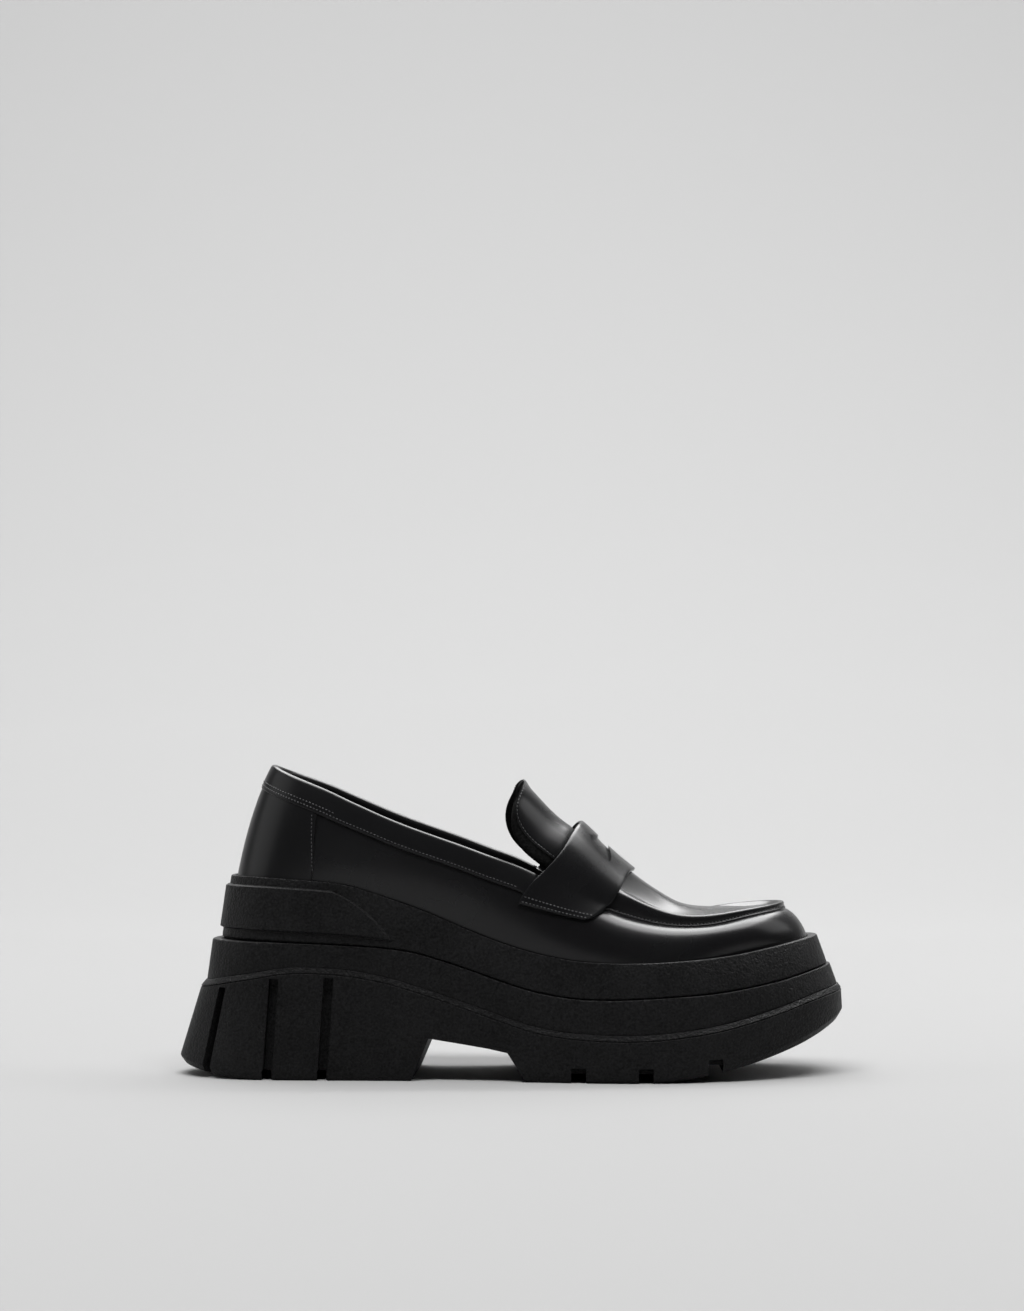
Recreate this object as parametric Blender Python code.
"""A right-foot penny loafer on a chunky lug sole, women's EU 38, standing on a flat floor.

Frame: +X to the toe, +Y to the inner (medial) side, +Z up, origin on the floor under the middle
of the sole. Stations run along the foot by one signed number: 0 at the back of the heel,
+1 at the toe by the outer (lateral) side, -1 at the toe by the inner side.
"""
import math

import bmesh
import bpy
from mathutils import Vector

MM = 0.001

# Driving sizes
SOLE_LENGTH = 287.8 * MM        # floor plan of the sole, heel to toe
SOLE_WIDTH = 103.0 * MM         # floor plan of the sole at the ball
HEEL_RIM_HEIGHT = 86.0 * MM     # top of the midsole at the heel
PLATFORM_HEIGHT = 50.4 * MM     # top of the midsole at the ball
COLLAR_RISE = 47.4 * MM         # back of the collar over the heel rim
DOME_RISE = 26.0 * MM           # instep over the edges of the opening
REAR_FLARE = 22.0 * MM          # how far the sole's foot stands out behind the rim
TOE_FLARE = 11.0 * MM
SIDE_FLARE = 6.0 * MM
TOE_SPRING = 25.0 * MM          # lift of the tread at the toe
REAR_BEVEL = 5.5 * MM           # lift of the tread at the back of the heel
SHOULDER_DROP = 2.5 * MM        # height of the sloped band over the tread block
EDGE_SOFTNESS = 1.0 * MM        # chamfer on the moulded edges
TREAD_CHAMFER = 2.6 * MM        # height of the bevel round the tread
CLEARANCE = 0.3 * MM            # gap between pieces that touch

# The midsole's cup and what stands in it
LIP_REAR = 2.2 * MM
LIP_TOE = 4.4 * MM
LIP_SIDE = 2.6 * MM
CUP_DEPTH = 4.0 * MM
INSOLE_THICKNESS = 3.0 * MM
PANEL_RELIEF = 1.5 * MM         # raised panel round the heel of the midsole
PANEL_ROOT = 1.2 * MM           # how deep the panel is fused into the midsole

# Leather
WALL = 2.0 * MM                 # upper with its lining
OVERLAY = 1.0 * MM              # collar band and heel counter
STRAP_THICKNESS = 1.5 * MM
TONGUE_THICKNESS = 3.2 * MM
BAND_HEIGHT = 10.6 * MM         # collar band, measured upwards
PLUG_RELIEF = 1.4 * MM          # apron over the vamp
SEAM_RELIEF = 3.0 * MM          # crest of the apron's raised seam over the vamp
SEAM_WIDTH = 3.0 * MM
EDGE_REAR = 18.2 * MM           # back of the collar ahead of the back of the rim
EDGE_TOE = 14.4 * MM            # apron seam behind the toe of the rim
MEDIAL_LIFT = 1.2 * MM          # the inner quarter stands a little higher

# Heel, arch and tread
BREAST_FOOT = 100.1 * MM        # breast of the heel from the back of the sole, at the floor
BREAST_LEAN = 7.6 * MM
BREAST_SKEW = 4.5 * MM          # the breast stands further forward on the inner side
ARCH_HEIGHT_REAR = 18.2 * MM
ARCH_HEIGHT_FRONT = 12.4 * MM
FOREFOOT_START = 141.9 * MM     # back face of the forefoot from the back of the sole
FOREFOOT_LEAN = 8.0 * MM
SLOT_WIDTH = 4.2 * MM
SLOT_DEPTH = 4.5 * MM
CHANNEL_HEIGHT = 4.3 * MM
NOTCH_WIDTH = 6.2 * MM
NOTCH_DEPTH = 6.0 * MM
NOTCH_HEIGHT = 6.4 * MM
NOTCH_CHANNEL_HEIGHT = 3.7 * MM

# Mesh fineness
STATIONS = 34                   # from the heel to the toe on each side
CAP_COLUMNS = 6                 # across the flat faces of the sole
WALL_ROWS = 5
DOME_COLUMNS = 8

# Plan of the sole: share of the length, then middle and half width as shares of half the width
PLAN = (
    ("along", "middle", "half"),
    (0.00, 0.000, 0.000),
    (0.03, 0.000, 0.425),
    (0.06, 0.000, 0.565),
    (0.10, 0.000, 0.655),
    (0.16, -0.004, 0.705),
    (0.22, -0.010, 0.720),
    (0.30, -0.030, 0.712),
    (0.40, -0.065, 0.710),
    (0.50, -0.085, 0.768),
    (0.58, -0.075, 0.858),
    (0.66, -0.045, 0.948),
    (0.72, -0.005, 0.985),
    (0.78, 0.025, 0.968),
    (0.84, 0.063, 0.892),
    (0.90, 0.100, 0.768),
    (0.95, 0.135, 0.600),
    (0.98, 0.155, 0.402),
    (1.00, 0.165, 0.000),
)

# Lines of the sole's side along its length. rim: share of the way from the platform up to the
# heel rim; ledge and shoulder: shares of the rim's height; rear and toe: shares of the two lifts.
LINES = (
    ("along", "rim", "ledge", "shoulder", "rear", "toe"),
    (0.000, 0.970, 0.686, 0.450, 1.00, 0.000),
    (0.020, 0.980, 0.686, 0.463, 0.72, 0.000),
    (0.050, 0.990, 0.685, 0.487, 0.40, 0.000),
    (0.080, 1.000, 0.684, 0.508, 0.13, 0.000),
    (0.105, 1.005, 0.680, 0.522, 0.00, 0.000),
    (0.187, 0.975, 0.682, 0.568, 0.00, 0.000),
    (0.246, 0.930, 0.686, 0.569, 0.00, 0.000),
    (0.305, 0.790, 0.716, 0.569, 0.00, 0.000),
    (0.364, 0.625, 0.738, 0.548, 0.00, 0.000),
    (0.424, 0.420, 0.739, 0.522, 0.00, 0.000),
    (0.483, 0.236, 0.719, 0.480, 0.00, 0.000),
    (0.542, 0.098, 0.694, 0.428, 0.00, 0.000),
    (0.600, 0.020, 0.686, 0.409, 0.00, 0.000),
    (0.660, 0.000, 0.692, 0.402, 0.00, 0.000),
    (0.710, 0.006, 0.703, 0.409, 0.00, 0.000),
    (0.745, 0.022, 0.707, 0.424, 0.00, 0.030),
    (0.790, 0.048, 0.711, 0.450, 0.00, 0.120),
    (0.837, 0.092, 0.720, 0.489, 0.00, 0.235),
    (0.870, 0.140, 0.727, 0.520, 0.00, 0.345),
    (0.900, 0.184, 0.734, 0.549, 0.00, 0.460),
    (0.930, 0.228, 0.752, 0.582, 0.00, 0.590),
    (0.960, 0.265, 0.772, 0.615, 0.00, 0.750),
    (1.000, 0.300, 0.792, 0.640, 0.00, 1.000),
)

# Outlines of the tiers, as shares of the three flares that they stand inside the floor plan
TIERS = {
    "rim": (1.00, 1.00, 1.00),
    "midsole_foot": (0.82, 0.60, 0.60),
    "ledge": (0.64, 0.50, 0.42),
    "shoulder": (0.52, 0.20, 0.27),
    "block": (0.405, 0.04, 0.00),
    "floor": (0.00, 0.00, 0.00),
}

# Upper edge of the side walls: collar first, then the apron seam. along: share of the edge's
# length; half: share of half the sole's width; rise: share of the collar's rise over the rim;
# bulge: share of the fullest bulge of the wall; dome: share of the instep's rise.
EDGE = (
    ("along", "middle", "half", "rise", "bulge", "dome"),
    (0.000, 0.000, 0.000, 1.000, 0.45, 1.250),
    (0.020, 0.000, 0.255, 0.955, 0.45, 1.250),
    (0.058, 0.000, 0.395, 0.895, 0.45, 1.250),
    (0.105, -0.005, 0.478, 0.826, 0.45, 1.250),
    (0.161, -0.012, 0.525, 0.748, 0.45, 1.250),
    (0.274, -0.030, 0.560, 0.702, 0.50, 1.250),
    (0.388, -0.048, 0.572, 0.734, 0.55, 1.250),
    (0.464, -0.050, 0.576, 0.738, 0.60, 1.220),
    (0.518, -0.046, 0.580, 0.695, 0.70, 1.160),
    (0.560, -0.040, 0.582, 0.630, 0.80, 1.090),
    (0.596, -0.033, 0.580, 0.565, 0.90, 1.000),
    (0.640, -0.022, 0.575, 0.478, 1.00, 0.800),
    (0.686, -0.008, 0.575, 0.398, 1.00, 0.620),
    (0.720, 0.004, 0.578, 0.352, 1.00, 0.470),
    (0.755, 0.018, 0.582, 0.312, 1.00, 0.388),
    (0.795, 0.034, 0.585, 0.284, 1.00, 0.275),
    (0.834, 0.050, 0.580, 0.276, 1.00, 0.215),
    (0.872, 0.066, 0.560, 0.284, 0.95, 0.155),
    (0.917, 0.086, 0.500, 0.302, 0.80, 0.065),
    (0.953, 0.106, 0.405, 0.300, 0.60, 0.012),
    (0.980, 0.124, 0.285, 0.292, 0.45, 0.000),
    (1.000, 0.140, 0.000, 0.285, 0.40, 0.000),
)
WALL_BULGE = 4.6 * MM

# Edges of the saddle strap at heights over the section: 1 is the edge line, 2 the middle
STRAP = (
    ("height", "rear", "front"),
    (0.54, 0.485, 0.600),
    (0.69, 0.492, 0.632),
    (1.00, 0.518, 0.648),
    (1.17, 0.540, 0.661),
    (1.33, 0.560, 0.672),
    (1.60, 0.579, 0.684),
    (2.00, 0.596, 0.700),
)
STRAP_FOOT_REAR = 0.54          # where on the wall its lower edge starts and ends
STRAP_FOOT_FRONT = 0.69
STRAP_COLUMNS = 8
STRAP_ROWS = 12

# Slot through the strap: forward from its back edge and out to each side, as shares of the slot
SLOT_LENGTH = 9.0 * MM
SLOT_HALF = 18.5 * MM
SLOT_START = 137.2 * MM         # its back corners, ahead of the back of the collar
STRAP_SLOT = (
    ("forward", "side"),
    (0.47, 0.00),
    (0.36, 0.40),
    (0.00, 0.82),
    (0.06, 0.90),
    (0.38, 1.00),
    (0.80, 1.00),
    (1.00, 0.66),
    (0.96, 0.30),
    (0.93, 0.00),
)

# Tongue: share of the way up, then forward and up of its middle and of its side edges, and its
# half width, as shares of its length and width
TONGUE_LENGTH = 40.0 * MM
TONGUE_HEIGHT = 42.0 * MM
TONGUE_WIDTH = 56.0 * MM
TONGUE_TURN = 3.5 * MM          # its inner edge lies further back than its outer one
TONGUE_START = 149.0 * MM       # its front end, ahead of the back of the collar
TONGUE_FOOT = 83.9 * MM         # height of its front end in the middle
TONGUE = (
    ("way", "back", "up", "edge_back", "edge_up", "half"),
    (0.00, 0.000, -0.035, 0.000, -0.330, 0.66),
    (0.12, 0.155, 0.080, 0.150, -0.195, 0.72),
    (0.24, 0.300, 0.205, 0.330, -0.080, 0.79),
    (0.34, 0.392, 0.375, 0.520, 0.040, 0.85),
    (0.42, 0.490, 0.520, 0.680, 0.140, 0.89),
    (0.52, 0.590, 0.588, 0.850, 0.262, 0.91),
    (0.62, 0.700, 0.676, 0.960, 0.350, 0.90),
    (0.72, 0.800, 0.772, 1.050, 0.495, 0.89),
    (0.82, 0.885, 0.862, 1.105, 0.630, 0.85),
    (0.90, 0.940, 0.924, 1.128, 0.760, 0.80),
    (0.96, 0.975, 0.981, 1.095, 0.882, 0.66),
    (1.00, 0.998, 1.030, 1.030, 0.990, 0.36),
)
TONGUE_ROWS = 16
TONGUE_COLUMNS = 8

# Heel slots: share of the sole's length at the top and at the floor, and whether a channel
# crosses the tread there
HEEL_SLOTS = (
    ("top", "foot", "crosses"),
    (0.070, 0.040, 0),
    (0.145, 0.135, 1),
    (0.228, 0.218, 1),
)
NOTCHES = (0.598, 0.697, 0.800)  # shares of the sole's length

LEATHER = (0.012, 0.012, 0.013)
RUBBER = (0.014, 0.014, 0.015)
LINING = (0.020, 0.019, 0.018)


def smooth(table, column, x):
    """Reads a table's column at x by a curve that never overshoots its rows."""
    names, rows = table[0], table[1:]
    k = names.index(column)
    x = min(max(x, rows[0][0]), rows[-1][0])
    i = 0
    while i < len(rows) - 2 and x > rows[i + 1][0]:
        i += 1

    def slope(j):
        return (rows[j + 1][k] - rows[j][k]) / (rows[j + 1][0] - rows[j][0])

    def tangent(j):
        if j == 0 or j == len(rows) - 1:
            return slope(min(j, len(rows) - 2))
        a, b = slope(j - 1), slope(j)
        return 0.0 if a * b <= 0.0 else 2.0 * a * b / (a + b)

    span = rows[i + 1][0] - rows[i][0]
    s = (x - rows[i][0]) / span
    low, high = rows[i][k], rows[i + 1][k]
    return (low * (1 + 2 * s) * (1 - s) ** 2 + high * s * s * (3 - 2 * s)
            + tangent(i) * span * s * (1 - s) ** 2 - tangent(i + 1) * span * s * s * (1 - s))


def half_width(table, along):
    """Half widths are blended as squares, so that both ends come out round."""
    squares = (("along", "square"),) + tuple(
        (row[0], row[2] ** 2) for row in table[1:])
    return math.sqrt(max(smooth(squares, "square", along), 0.0))


def share_of(station):
    return 0.5 * (1.0 - math.cos(math.pi * min(abs(station), 1.0)))


def side_of(station):
    return -1.0 if station >= 0.0 else 1.0


def plan_point(station, rear_in, toe_in, side_in):
    """A point of an outline that stands inside the floor plan by three insets."""
    along = share_of(station)
    x = -SOLE_LENGTH / 2 + rear_in + along * (SOLE_LENGTH - rear_in - toe_in)
    middle = smooth(PLAN, "middle", along) * SOLE_WIDTH / 2
    half = half_width(PLAN, along) * (SOLE_WIDTH / 2 - side_in)
    return x, middle + side_of(station) * half


def tier_insets(tier, extra=0.0):
    rear, toe, side = TIERS[tier]
    return rear * REAR_FLARE + extra, toe * TOE_FLARE + extra, side * SIDE_FLARE + extra


def line(column, x):
    return smooth(LINES, column, x / SOLE_LENGTH + 0.5)


def rim_height(x):
    return PLATFORM_HEIGHT + (HEEL_RIM_HEIGHT - PLATFORM_HEIGHT) * line("rim", x)


def ledge_height(x):
    return rim_height(x) * line("ledge", x)


def shoulder_height(x):
    return rim_height(x) * line("shoulder", x)


def tread_height(x):
    return REAR_BEVEL * line("rear", x) + TOE_SPRING * line("toe", x)


def ring(insets, height, lift=0.0):
    """One closed outline, from the heel along the outer side and back along the inner one."""
    points = []
    for i in range(-STATIONS + 1, STATIONS + 1):
        x, y = plan_point(i / STATIONS, *insets)
        points.append(Vector((x, y, height(x) + lift)))
    return points


def station_index(i):
    """Place of station i, from -STATIONS to STATIONS, in a ring's list of points."""
    return STATIONS - 1 + (i if i > -STATIONS else STATIONS)


def loft(mesh, rings):
    loops = [[mesh.verts.new(p) for p in points] for points in rings]
    count = len(loops[0])
    for upper, lower in zip(loops, loops[1:]):
        for i in range(count):
            j = (i + 1) % count
            mesh.faces.new((upper[i], lower[i], lower[j], upper[j]))
    return loops


def cap(mesh, loop, height):
    """Closes a ring with rows across the foot; its inner points lie at height(x)."""
    previous = None
    for i in range(1, STATIONS):
        outer, inner = loop[station_index(i)], loop[station_index(-i)]
        row = [outer]
        for k in range(1, CAP_COLUMNS):
            p = outer.co.lerp(inner.co, k / CAP_COLUMNS)
            p.z = height(p.x)
            row.append(mesh.verts.new(p))
        row.append(inner)
        if previous is None:
            for k in range(CAP_COLUMNS):
                mesh.faces.new((loop[station_index(0)], row[k], row[k + 1]))
        else:
            for k in range(CAP_COLUMNS):
                mesh.faces.new((previous[k], row[k], row[k + 1], previous[k + 1]))
        previous = row
    for k in range(CAP_COLUMNS):
        mesh.faces.new((loop[station_index(STATIONS)], previous[k + 1], previous[k]))


def material(name, colour, roughness):
    made = bpy.data.materials.new(name)
    made.use_nodes = True
    shader = made.node_tree.nodes["Principled BSDF"]
    shader.inputs["Base Color"].default_value = (*colour, 1.0)
    shader.inputs["Roughness"].default_value = roughness
    shader.inputs["Metallic"].default_value = 0.0
    return made


def finish(name, mesh, look=None, sharp=35.0):
    """Turns a bmesh into the named object, with its faces pointing out."""
    bmesh.ops.remove_doubles(mesh, verts=mesh.verts, dist=0.00001)
    bmesh.ops.triangulate(mesh, faces=mesh.faces)
    bmesh.ops.recalc_face_normals(mesh, faces=mesh.faces)
    data = bpy.data.meshes.new(name)
    mesh.to_mesh(data)
    mesh.free()
    made = bpy.data.objects.new(name, data)
    bpy.context.scene.collection.objects.link(made)
    if look is not None:
        data.materials.append(look)
        data.shade_smooth()
        data.set_sharp_from_angle(angle=math.radians(sharp))
    return made


def patch(rows_out, rows_in):
    """A closed sheet between two grids of points with the same rows and columns."""
    mesh = bmesh.new()
    top = [[mesh.verts.new(p) for p in row] for row in rows_out]
    under = [[mesh.verts.new(p) for p in row] for row in rows_in]
    rows, columns = len(top), len(top[0])
    for i in range(rows - 1):
        for j in range(columns - 1):
            mesh.faces.new((top[i][j], top[i][j + 1], top[i + 1][j + 1], top[i + 1][j]))
            mesh.faces.new((under[i][j], under[i + 1][j], under[i + 1][j + 1], under[i][j + 1]))
    for i in range(rows - 1):
        mesh.faces.new((top[i][0], top[i + 1][0], under[i + 1][0], under[i][0]))
        mesh.faces.new((top[i + 1][-1], top[i][-1], under[i][-1], under[i + 1][-1]))
    for j in range(columns - 1):
        mesh.faces.new((top[0][j + 1], top[0][j], under[0][j], under[0][j + 1]))
        mesh.faces.new((top[-1][j], top[-1][j + 1], under[-1][j + 1], under[-1][j]))
    return mesh


def prism(name, outline_a, outline_b):
    """A closed cutter between two outlines of the same number of points."""
    mesh = bmesh.new()
    a = [mesh.verts.new(p) for p in outline_a]
    b = [mesh.verts.new(p) for p in outline_b]
    mesh.faces.new(a)
    mesh.faces.new(b)
    for i in range(len(a)):
        j = (i + 1) % len(a)
        mesh.faces.new((a[i], a[j], b[j], b[i]))
    made = finish(name, mesh)
    made.hide_render = True
    made.display_type = "WIRE"
    return made


def apply_boolean(target, tool, operation):
    """Cuts or joins with the tool, which is removed afterwards."""
    modifier = target.modifiers.new(tool.name, "BOOLEAN")
    modifier.object = tool
    modifier.operation = operation
    modifier.solver = "EXACT"
    bpy.context.view_layer.update()
    evaluated = target.evaluated_get(bpy.context.evaluated_depsgraph_get())
    data = bpy.data.meshes.new_from_object(evaluated)
    target.modifiers.remove(modifier)
    old = target.data
    target.data = data
    bpy.data.meshes.remove(old)
    bpy.data.objects.remove(tool, do_unlink=True)


# Sole

def make_outsole(look):
    """Tread block, shoulder and lower tier, in one moulding, with arch, slots and notches."""
    foot = tuple(0.9 * TREAD_CHAMFER for _ in range(3))
    rings = [
        ring(tier_insets("ledge", EDGE_SOFTNESS), ledge_height),
        ring(tier_insets("ledge"), ledge_height, -EDGE_SOFTNESS),
        ring(tier_insets("shoulder"), shoulder_height),
        ring(tier_insets("block"), shoulder_height, -SHOULDER_DROP),
        ring(tier_insets("floor"), tread_height, TREAD_CHAMFER),
        ring(foot, tread_height),
    ]
    mesh = bmesh.new()
    loops = loft(mesh, rings)
    cap(mesh, loops[0], ledge_height)
    cap(mesh, loops[-1], tread_height)
    sole = finish("outsole", mesh, look)
    for tool in arch_tools() + slot_tools() + notch_tools():
        apply_boolean(sole, tool, "DIFFERENCE")
    return sole


def arch_tools():
    """The open arch between the heel's breast and the forefoot."""
    back = -SOLE_LENGTH / 2
    wide = SOLE_WIDTH
    below = -0.5 * ARCH_HEIGHT_FRONT
    lean = BREAST_LEAN / ARCH_HEIGHT_REAR
    slope = FOREFOOT_LEAN / ARCH_HEIGHT_FRONT
    outlines = []
    for side in (-1.0, 1.0):
        skew = BREAST_SKEW * (0.5 + 0.5 * side * wide / (0.72 * SOLE_WIDTH))
        breast = back + BREAST_FOOT + skew
        front = back + FOREFOOT_START + FOREFOOT_LEAN
        outlines.append([
            Vector((breast + below * lean, side * wide, below)),
            Vector((breast + BREAST_LEAN, side * wide, ARCH_HEIGHT_REAR)),
            Vector((front - FOREFOOT_LEAN, side * wide, ARCH_HEIGHT_FRONT)),
            Vector((front - below * slope, side * wide, below)),
        ])
    return [prism("arch_cut", *outlines)]


def frame_at(share, side):
    """Point of the floor plan at a share of the sole's length, and its outward direction."""
    station = math.acos(1.0 - 2.0 * share) / math.pi * (1.0 if side < 0 else -1.0)
    step = 0.004
    a = Vector((*plan_point(station - step, 0, 0, 0), 0))
    b = Vector((*plan_point(station + step, 0, 0, 0), 0))
    tangent = (b - a).normalized()
    out = Vector((tangent.y, -tangent.x, 0))
    return Vector((*plan_point(station, 0, 0, 0), 0)), out


def slot_tools():
    """Grooves up the heel's side, deep at the floor, and the channels that cross its tread."""
    tools = []
    columns = HEEL_SLOTS[0]
    for number, row in enumerate(HEEL_SLOTS[1:], 1):
        slot = dict(zip(columns, row))
        for side in (-1.0, 1.0):
            ends = []
            for share, at_top in ((slot["foot"], False), (slot["top"], True)):
                point, out = frame_at(share, side)
                if at_top:
                    inside = tier_insets("block")
                    point.x += inside[0] * (1.0 - share) ** 6
                    point.z = shoulder_height(point.x) - SHOULDER_DROP - 1.5 * EDGE_SOFTNESS
                else:
                    point.z = -CHANNEL_HEIGHT
                along = Vector((-out.y, out.x, 0)) * SLOT_WIDTH / 2
                inner = point - out * SLOT_DEPTH
                outer = point + out * 4.0 * SLOT_DEPTH
                ends.append([inner - along, inner + along, outer + along, outer - along])
            tools.append(prism(f"slot_cut_{number}_{int(side)}", *ends))
        if slot["crosses"]:
            x = -SOLE_LENGTH / 2 + slot["foot"] * SOLE_LENGTH
            tools.append(box_tool(f"channel_cut_{number}", x, SLOT_WIDTH * 0.92, 0.0,
                                  2.0 * SOLE_WIDTH, -CHANNEL_HEIGHT, CHANNEL_HEIGHT))
    return tools


def notch_tools():
    """Notches in the sides of the forefoot's tread, joined across by lower channels."""
    tools = []
    for number, share in enumerate(NOTCHES, 1):
        x = -SOLE_LENGTH / 2 + share * SOLE_LENGTH
        floor = tread_height(x)
        tools.append(box_tool(f"cross_cut_{number}", x, NOTCH_WIDTH, 0.0, 2.0 * SOLE_WIDTH,
                              -NOTCH_HEIGHT, floor + NOTCH_CHANNEL_HEIGHT))
        for side in (-1.0, 1.0):
            point, _ = frame_at(share, side)
            reach = SOLE_WIDTH
            middle = point.y + side * (reach / 2 - NOTCH_DEPTH)
            tools.append(box_tool(f"notch_cut_{number}_{int(side)}", x, NOTCH_WIDTH * 1.02,
                                  middle, reach, -NOTCH_HEIGHT, floor + NOTCH_HEIGHT))
    return tools


def box_tool(name, x, length, y, width, low, high):
    corners = ((-1, -1), (1, -1), (1, 1), (-1, 1))
    outlines = [[Vector((x + i * length / 2, y + j * width / 2, z)) for i, j in corners]
                for z in (low, high)]
    return prism(name, *outlines)


def cup_insets(extra):
    """Insets of the upper's foot outline from the floor plan; extra goes further in."""
    rear, toe, side = tier_insets("rim")
    overlays = OVERLAY + CLEARANCE
    return rear + LIP_REAR + overlays + extra, toe + LIP_TOE + extra, side + LIP_SIDE + extra


def cup_floor(x):
    return rim_height(x) - CUP_DEPTH


def lip_insets(extra):
    """Insets of the inner face of the midsole's lip, outside the overlays at the heel."""
    rear, toe, side = cup_insets(extra)
    return rear - OVERLAY - CLEARANCE, toe, side


def make_midsole(look):
    """Upper tier of the sole: a shallow cup whose rim stands round the foot of the upper."""
    rings = [
        ring(lip_insets(-CLEARANCE), cup_floor),
        ring(lip_insets(-CLEARANCE), rim_height, -0.4 * EDGE_SOFTNESS),
        ring(tuple(i - CLEARANCE - 0.3 * LIP_REAR for i in lip_insets(0.0)), rim_height),
        ring(tier_insets("rim", 0.2 * EDGE_SOFTNESS), rim_height, -0.3 * EDGE_SOFTNESS),
        ring(tier_insets("rim", -0.3 * EDGE_SOFTNESS), rim_height, -1.5 * EDGE_SOFTNESS),
        ring(tier_insets("midsole_foot"), ledge_height, CLEARANCE + EDGE_SOFTNESS),
        ring(tier_insets("midsole_foot", EDGE_SOFTNESS), ledge_height, CLEARANCE),
    ]
    mesh = bmesh.new()
    loops = loft(mesh, rings)
    cap(mesh, loops[0], cup_floor)
    cap(mesh, loops[-1], lambda x: ledge_height(x) + CLEARANCE)
    midsole = finish("midsole", mesh, look)
    apply_boolean(midsole, heel_panel(), "UNION")
    return midsole


# Heel panel: how far round it reaches at each share of the side's height
PANEL = (
    ("up", "reach"),
    (0.00, 0.300),
    (0.30, 0.288),
    (0.55, 0.268),
    (0.75, 0.246),
    (0.88, 0.222),
    (1.00, 0.190),
)
PANEL_FOOT = 0.16               # share of the side's height left bare under it
PANEL_HEAD = 0.13               # and over it
PANEL_ROWS = 6
PANEL_COLUMNS = 36


def heel_panel():
    """A flat raised panel that wraps the back of the midsole and tapers forward."""
    top = tier_insets("rim", -0.3 * EDGE_SOFTNESS)
    foot = tier_insets("midsole_foot")
    grids = []
    for relief in (PANEL_RELIEF, -PANEL_ROOT):
        rows = []
        for i in range(PANEL_ROWS + 1):
            up = i / PANEL_ROWS
            height = PANEL_FOOT + (1.0 - PANEL_FOOT - PANEL_HEAD) * up
            reach = math.acos(1.0 - 2.0 * smooth(PANEL, "reach", up)) / math.pi
            insets = tuple(f + (t - f) * height - relief for f, t in zip(foot, top))
            row = []
            for j in range(PANEL_COLUMNS + 1):
                station = reach * (2.0 * j / PANEL_COLUMNS - 1.0)
                x, y = plan_point(station, *insets)
                low, high = ledge_height(x) + CLEARANCE, rim_height(x)
                row.append(Vector((x, y, low + (high - low) * height)))
            rows.append(row)
        grids.append(rows)
    return finish("heel_panel", patch(*grids))


def make_insole(look):
    outline = []
    for i in range(-STATIONS + 1, STATIONS + 1):
        point = raised(i / STATIONS, -0.5, -WALL - 1.5 * CLEARANCE)
        point.z = cup_floor(point.x) + CLEARANCE
        outline.append(point)
    rings = [[p + Vector((0, 0, INSOLE_THICKNESS)) for p in outline], outline]
    mesh = bmesh.new()
    loops = loft(mesh, rings)
    cap(mesh, loops[0], lambda x: cup_floor(x) + CLEARANCE + INSOLE_THICKNESS)
    cap(mesh, loops[-1], lambda x: cup_floor(x) + CLEARANCE)
    return finish("insole", mesh, look)


# Upper

def edge_frame(station, inset=0.0):
    """x, middle, half width and height of the wall's upper edge, or of a line inside it."""
    along = share_of(station)
    rear, toe, _ = cup_insets(0.0)
    start = -SOLE_LENGTH / 2 + rear - LIP_REAR + EDGE_REAR - 2.0 * CLEARANCE
    end = SOLE_LENGTH / 2 - toe + LIP_TOE - EDGE_TOE - inset
    x = start + along * (end - start)
    middle = smooth(EDGE, "middle", along) * SOLE_WIDTH / 2
    half = half_width(EDGE, along)
    full = half * SOLE_WIDTH / 2
    narrow = half / 0.585 * max(0.585 * SOLE_WIDTH / 2 - inset, 0.0)
    height = rim_height(x) + smooth(EDGE, "rise", along) * COLLAR_RISE
    return x, middle, full, narrow, height


def medial_lift(along):
    return MEDIAL_LIFT * math.sin(math.pi * min(along / 0.6, 1.0))


def dome(station, across, inset=0.0):
    """Point over the instep: across runs from -1, outer edge, to 1, inner edge."""
    x, middle, full, narrow, height = edge_frame(station, inset)
    along = share_of(station)
    y = middle + across * narrow
    u = min(abs(across) * narrow / full, 1.0) if full > EDGE_SOFTNESS / 100 else 1.0
    rise = DOME_RISE * smooth(EDGE, "dome", along) * (1.0 - u ** 2.2) ** (1.0 / 1.9)
    lift = medial_lift(along) * (0.5 + 0.5 * across)
    return Vector((x, y, height + rise + lift))


def foot_point(station):
    x, y = plan_point(station, *cup_insets(0.0))
    return Vector((x, y, rim_height(x)))


def skin(station, height):
    """The upper's outer face. height: -1 the cup's floor, 0 the rim, 1 the edge, 2 the middle."""
    side = side_of(station)
    if height > 1.0:
        return dome(station, side * math.cos((height - 1.0) * math.pi / 2))
    foot = foot_point(station)
    if height <= 0.0:
        foot.z += height * (CUP_DEPTH - CLEARANCE)
        return foot
    edge = dome(station, side)
    step = 0.003
    tangent = (foot_point(station + step) - foot_point(station - step))
    if abs(station) > 1.0 - 2 * step:
        tangent = Vector((0, 1, 0))
    if abs(station) < 2 * step:
        tangent = Vector((0, -1, 0))
    out = Vector((tangent.y, -tangent.x, 0)).normalized()
    if out.dot(Vector((foot.x - 0.2 * SOLE_LENGTH * (1 if foot.x > 0 else -1), foot.y, 0))) < 0:
        out.negate()
    chord = (edge - foot).normalized()
    swell = (out - chord * out.dot(chord)).normalized()
    bulge = WALL_BULGE * smooth(EDGE, "bulge", share_of(station))
    return foot.lerp(edge, height) + swell * bulge * 3.2 * height * (1.0 - height) ** 0.8


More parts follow.
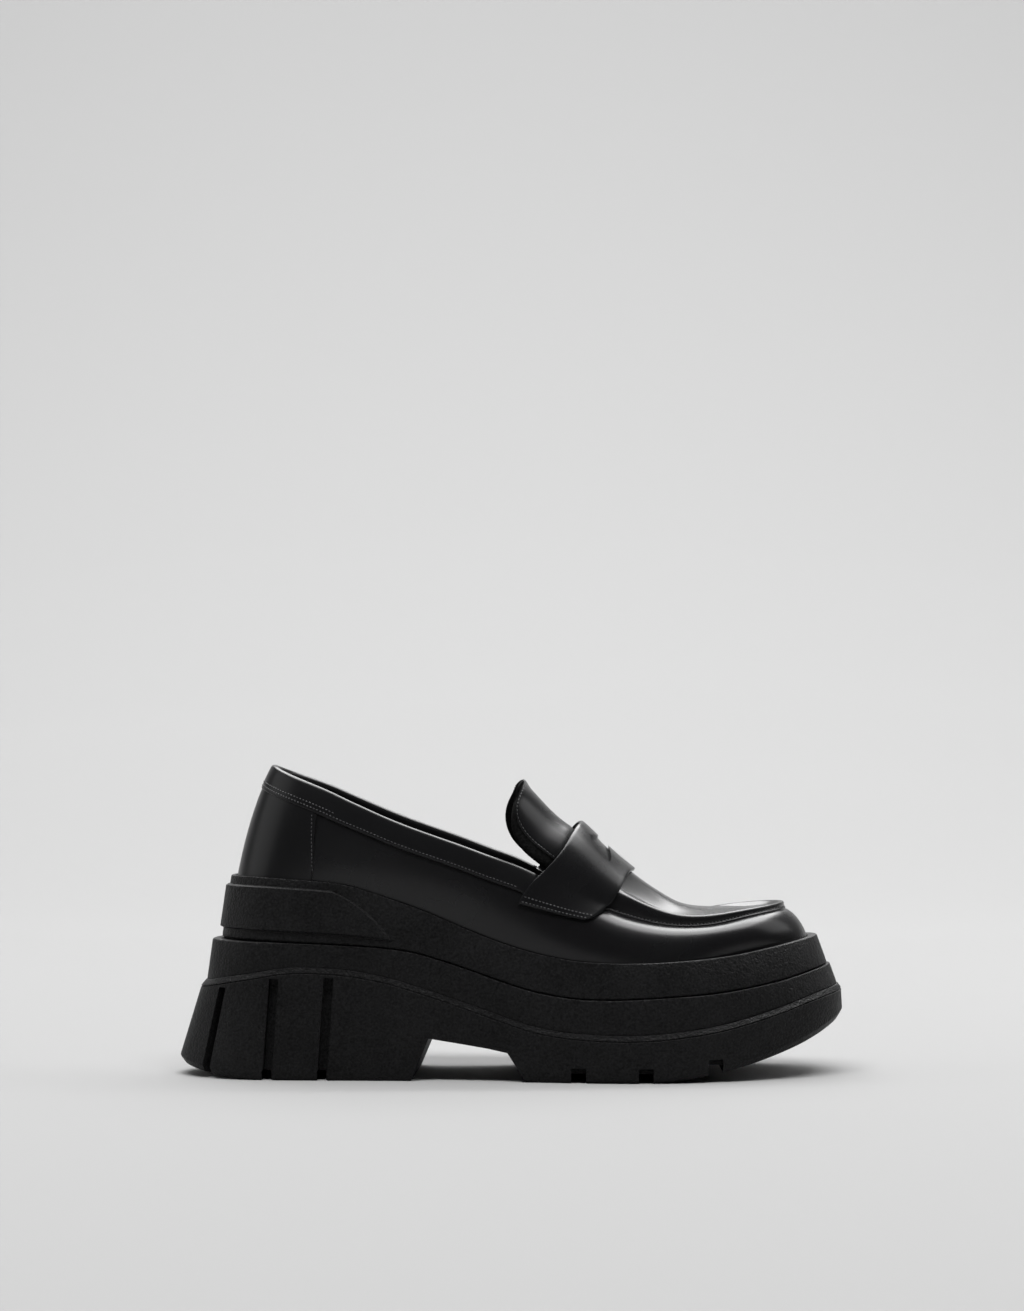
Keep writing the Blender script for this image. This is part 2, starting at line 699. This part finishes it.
def skin_normal(station, height):
    ds, dh = 0.004, 0.02
    s0, s1 = station - ds, station + ds
    if s1 > 1.0:
        s0, s1 = 1.0 - 2 * ds, 1.0
    if s0 < -1.0:
        s0, s1 = -1.0, -1.0 + 2 * ds
    h0, h1 = height - dh, height + dh
    if height <= 1.0:
        h1 = min(h1, 1.0)
        h0 = max(h0, 0.0) if height >= 0.0 else height - dh
        if h1 - h0 < dh:
            h0, h1 = 0.0, dh
    along = skin(s1, height) - skin(s0, height)
    up = skin(station, h1) - skin(station, h0)
    normal = along.cross(up)
    if normal.length < 1e-12:
        return Vector((0, 0, 1))
    return normal.normalized()


def facet(station, height):
    """The wall between its stations and rows, where the upper's faces run straight."""
    along = station * STATIONS
    i = min(math.floor(along), STATIONS - 1)
    up = height * WALL_ROWS
    k = min(math.floor(up), WALL_ROWS - 1)
    low = skin(i / STATIONS, k / WALL_ROWS).lerp(skin((i + 1) / STATIONS, k / WALL_ROWS), along - i)
    high = skin(i / STATIONS, (k + 1) / WALL_ROWS).lerp(
        skin((i + 1) / STATIONS, (k + 1) / WALL_ROWS), along - i)
    return low.lerp(high, up - k)


def raised(station, height, distance):
    face = facet(station, height) if 0.0 <= height <= 1.0 else skin(station, height)
    return face + skin_normal(station, height) * distance


# Shares of the edge's length: where the upper ends under the strap, and where the raised seam
# starts and how soon it is full
THROAT = 0.612
SEAM_START = 0.668
SEAM_GROWTH = 0.025


def make_upper(look):
    """Vamp and quarters as one hollow wall, closed over the toes, with the apron's step."""
    mesh = bmesh.new()
    base = []
    lifts = []
    faces = []

    def add(point, lift):
        base.append(point)
        lifts.append(lift)
        return len(base) - 1

    heights = [-1.0] + [k / WALL_ROWS for k in range(WALL_ROWS + 1)]
    loops = [[add(skin(i / STATIONS, h), 0.0) for i in range(-STATIONS + 1, STATIONS + 1)]
             for h in heights]
    count = 2 * STATIONS
    for low, high in zip(loops, loops[1:]):
        for i in range(count):
            j = (i + 1) % count
            faces.append((low[i], low[j], high[j], high[i]))
    first = next(i for i in range(STATIONS) if share_of(i / STATIONS) >= THROAT)
    seam = ((0.35 * SEAM_WIDTH, SEAM_RELIEF), (0.85 * SEAM_WIDTH, SEAM_RELIEF),
            (1.35 * SEAM_WIDTH, PLUG_RELIEF))
    line_before = {i: loops[-1][station_index(i)] for i in range(-STATIONS + 1, STATIONS + 1)}
    for inset, lift in seam:
        current = {}
        for i in range(first, STATIONS + 1):
            for signed in ({i, -i} if i < STATIONS else {i}):
                share = share_of(i / STATIONS)
                grown = min(max((share - SEAM_START) / SEAM_GROWTH, 0.0), 1.0)
                relief = PLUG_RELIEF + (lift - PLUG_RELIEF) * grown
                across = side_of(signed) if i < STATIONS else -1.0
                current[signed] = add(dome(signed / STATIONS, across, inset), relief)
        for i in range(first, STATIONS):
            for sign in (1, -1):
                a, b = sign * i, sign * (i + 1) if i + 1 < STATIONS else STATIONS
                face = (line_before[a], line_before[b], current[b], current[a])
                faces.append(face if sign > 0 else face[::-1])
        line_before = current
    last_inset = seam[-1][0]
    previous = None
    for i in range(first, STATIONS):
        row = [line_before[i]]
        for k in range(1, DOME_COLUMNS):
            across = -math.cos(math.pi * k / DOME_COLUMNS)
            row.append(add(dome(i / STATIONS, across, last_inset), PLUG_RELIEF))
        row.append(line_before[-i])
        if previous is not None:
            for k in range(DOME_COLUMNS):
                faces.append((previous[k], row[k], row[k + 1], previous[k + 1]))
        previous = row
    for k in range(DOME_COLUMNS):
        faces.append((previous[k], line_before[STATIONS], previous[k + 1]))
    verts = [mesh.verts.new(p) for p in base]
    for face in faces:
        mesh.faces.new([verts[v] for v in face])
    return finish("upper", thicken(mesh, lifts, WALL), look)


def thicken(mesh, lifts, wall):
    """Gives a sheet its wall: the outer face is lifted point by point, the inner one is not."""
    bmesh.ops.recalc_face_normals(mesh, faces=mesh.faces)
    mesh.normal_update()
    probe = max(mesh.verts, key=lambda v: v.co.x)
    if probe.normal.x < 0.0:
        bmesh.ops.reverse_faces(mesh, faces=mesh.faces)
        mesh.normal_update()
    mesh.verts.ensure_lookup_table()
    solid = bmesh.new()
    outer = [solid.verts.new(v.co + v.normal * lifts[v.index]) for v in mesh.verts]
    inner = [solid.verts.new(v.co - v.normal * wall) for v in mesh.verts]
    for face in mesh.faces:
        solid.faces.new([outer[v.index] for v in face.verts])
        solid.faces.new([inner[v.index] for v in reversed(face.verts)])
    for edge in mesh.edges:
        if edge.is_boundary:
            a, b = edge.verts[0].index, edge.verts[1].index
            solid.faces.new((outer[a], outer[b], inner[b], inner[a]))
    mesh.free()
    return solid


def band_foot(station):
    """Height on the wall of the collar band's lower edge."""
    x, _, _, _, height = edge_frame(station)
    return 1.0 - BAND_HEIGHT / (height - rim_height(x))


BAND_END = 0.478                # share of the edge's length where the band meets the strap
BAND_ROWS = 3


def station_of(share):
    return math.acos(1.0 - 2.0 * share) / math.pi


def overlay_stations(reach):
    """The upper's own stations from one side round the heel to the other, ended at reach."""
    inner = [i / STATIONS for i in range(-STATIONS, STATIONS + 1) if abs(i / STATIONS) < reach - 0.01]
    return [-reach] + inner + [reach]


def make_collar_band(look):
    reach = station_of(BAND_END)
    grids = []
    for distance in (CLEARANCE + OVERLAY, CLEARANCE):
        rows = []
        for k in range(BAND_ROWS + 1):
            row = []
            for station in overlay_stations(reach):
                foot = band_foot(station)
                row.append(raised(station, foot + (1.0 - foot) * k / BAND_ROWS, distance))
            rows.append(row)
        grids.append(rows)
    return finish("collar_band", patch(*grids), look)


COUNTER_REACH_FOOT = 0.144      # share of the length where the counter ends, at the rim
COUNTER_REACH_TOP = 0.105       # and under the collar band
COUNTER_ROWS = 5


def make_heel_counter(look):
    last = int(station_of(COUNTER_REACH_FOOT) * STATIONS)
    grids = []
    for distance in (CLEARANCE + OVERLAY, CLEARANCE):
        rows = []
        for k in range(COUNTER_ROWS + 1):
            way = k / COUNTER_ROWS
            reach = station_of(COUNTER_REACH_FOOT + (COUNTER_REACH_TOP - COUNTER_REACH_FOOT) * way)
            half = [min(i / STATIONS, reach - 0.004 * (last + 1 - i)) for i in range(1, last + 1)]
            half.append(reach)
            row = []
            for station in [-s for s in reversed(half)] + [0.0] + half:
                x, _, _, _, height = edge_frame(station)
                tall = height - rim_height(x)
                low = CLEARANCE / tall
                high = band_foot(station) - 1.5 * CLEARANCE / tall
                row.append(raised(station, low + (high - low) * way, distance))
            rows.append(row)
        grids.append(rows)
    return finish("heel_counter", patch(*grids), look)


def make_strap(look):
    """Saddle strap over the instep, from one side wall to the other, with its slot."""
    grids = []
    for distance in (CLEARANCE + STRAP_THICKNESS, CLEARANCE):
        rows = []
        for i in range(STRAP_COLUMNS + 1):
            forward = i / STRAP_COLUMNS
            foot = STRAP_FOOT_REAR + (STRAP_FOOT_FRONT - STRAP_FOOT_REAR) * forward
            row = []
            for k in range(2 * STRAP_ROWS + 1):
                up = 1.0 - abs(k / STRAP_ROWS - 1.0)
                height = min(foot + (2.0 - foot) * up, 2.0 - 1e-6)
                rear = smooth(STRAP, "rear", height)
                front = smooth(STRAP, "front", height)
                sign = 1.0 if k <= STRAP_ROWS else -1.0
                station = sign * station_of(rear + (front - rear) * forward)
                over = min(max((height - 0.80) / 0.18, 0.0), 1.0)
                bridge = (PLUG_RELIEF + CLEARANCE) * over * over * (3.0 - 2.0 * over)
                if height > 1.9:
                    normal = skin_normal(station, 1.9)
                    normal.y = 0.0
                    row.append(skin(station, height) + normal.normalized() * (distance + bridge))
                else:
                    row.append(raised(station, height, distance + bridge))
            rows.append(row)
        grids.append(rows)
    strap = finish("saddle_strap", patch(*grids), look)
    apply_boolean(strap, strap_slot_tool(), "DIFFERENCE")
    return strap


def strap_slot_tool():
    x0 = edge_frame(0.0)[0] + SLOT_START
    rows = [dict(zip(STRAP_SLOT[0], row)) for row in STRAP_SLOT[1:]]
    outline = [(x0 + r["forward"] * SLOT_LENGTH, -r["side"] * SLOT_HALF) for r in rows]
    outline += [(x, -y) for x, y in reversed(outline[1:-1])]
    middle = smooth(EDGE, "middle", 0.64) * SOLE_WIDTH / 2
    low, high = PLATFORM_HEIGHT, HEEL_RIM_HEIGHT + COLLAR_RISE
    return prism("strap_slot_cut", *[[Vector((x, y + middle, z)) for x, y in outline]
                                     for z in (low, high)])


def make_tongue(look):
    """Padded tongue: a curved flap that rises from under the strap."""
    x0 = edge_frame(0.0)[0] + TONGUE_START
    middle = smooth(EDGE, "middle", 0.6) * SOLE_WIDTH / 2
    turn = math.radians(76.0)

    def point(way, across):
        def read(column):
            return smooth(TONGUE, column, way)

        angle = across * turn
        side = (1.0 - math.cos(angle)) / (1.0 - math.cos(turn))
        back = read("back") + (read("edge_back") - read("back")) * side
        up = read("up") + (read("edge_up") - read("up")) * side
        y = read("half") * TONGUE_WIDTH / 2 * math.sin(angle) / math.sin(turn)
        x = x0 - back * TONGUE_LENGTH - TONGUE_TURN * side * (0.5 + 0.5 * across) * way
        return Vector((x, middle + y, TONGUE_FOOT + up * TONGUE_HEIGHT))

    mesh = bmesh.new()
    grid = []
    for i in range(TONGUE_ROWS + 1):
        way = i / TONGUE_ROWS
        grid.append([mesh.verts.new(point(way, 2.0 * k / TONGUE_COLUMNS - 1.0))
                     for k in range(TONGUE_COLUMNS + 1)])
    for low, high in zip(grid, grid[1:]):
        for k in range(TONGUE_COLUMNS):
            mesh.faces.new((low[k], low[k + 1], high[k + 1], high[k]))
    lifts = [0.0] * len(mesh.verts)
    mesh.verts.index_update()
    return finish("tongue", thicken(mesh, lifts, TONGUE_THICKNESS), look)


def main():
    for old in list(bpy.data.objects):
        bpy.data.objects.remove(old, do_unlink=True)
    leather = material("polished_leather", LEATHER, 0.18)
    band_leather = material("band_leather", LEATHER, 0.22)
    counter_leather = material("counter_leather", LEATHER, 0.2)
    strap_leather = material("strap_leather", LEATHER, 0.15)
    tongue_leather = material("tongue_leather", LEATHER, 0.2)
    rubber = material("sole_rubber", RUBBER, 0.6)
    midsole_rubber = material("midsole_rubber", RUBBER, 0.58)
    lining = material("insole_lining", LINING, 0.8)
    make_outsole(rubber)
    make_midsole(midsole_rubber)
    make_insole(lining)
    make_upper(leather)
    make_collar_band(band_leather)
    make_heel_counter(counter_leather)
    make_strap(strap_leather)
    make_tongue(tongue_leather)


main()
